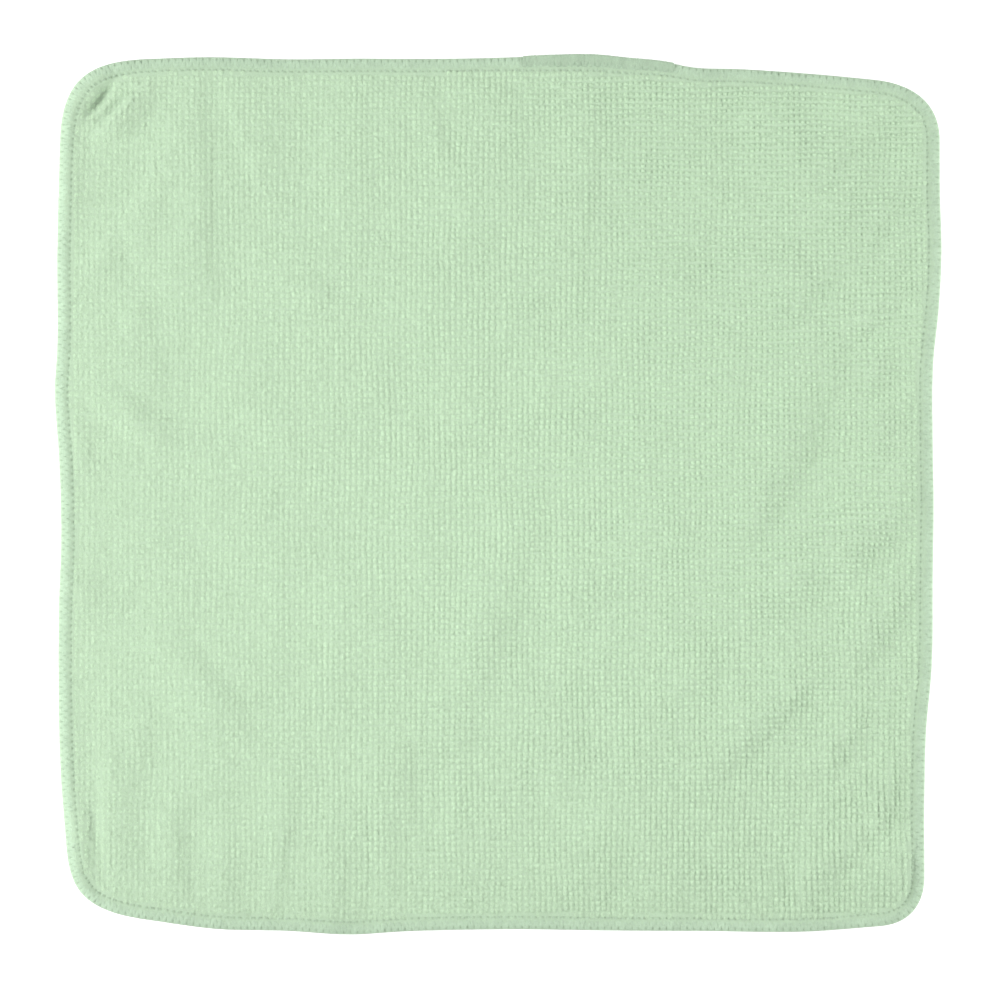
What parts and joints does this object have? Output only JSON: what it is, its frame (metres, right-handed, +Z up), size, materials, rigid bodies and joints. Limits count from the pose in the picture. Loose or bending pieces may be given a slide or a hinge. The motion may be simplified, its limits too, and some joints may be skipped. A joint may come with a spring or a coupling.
{
  "type": "microfibre cloth",
  "caption": "Square microfibre terry cloth with rounded corners and an overlocked edge, lying flat with soft creases and gathers along its hem.",
  "frame": {"origin": "on the surface that the cloth lies on, under the middle of its outline's box", "axes": "+Z up from that surface, +X and +Y along the cloth's sides"},
  "size_m": [0.3106, 0.3082, 0.005],
  "materials": {
    "terry": "matt looped pile in pale mint",
    "thread": "soft textured overlock thread in pale mint"
  },
  "bodies": {
    "root": {"cloth": "terry"}
  },
  "joints": []
}
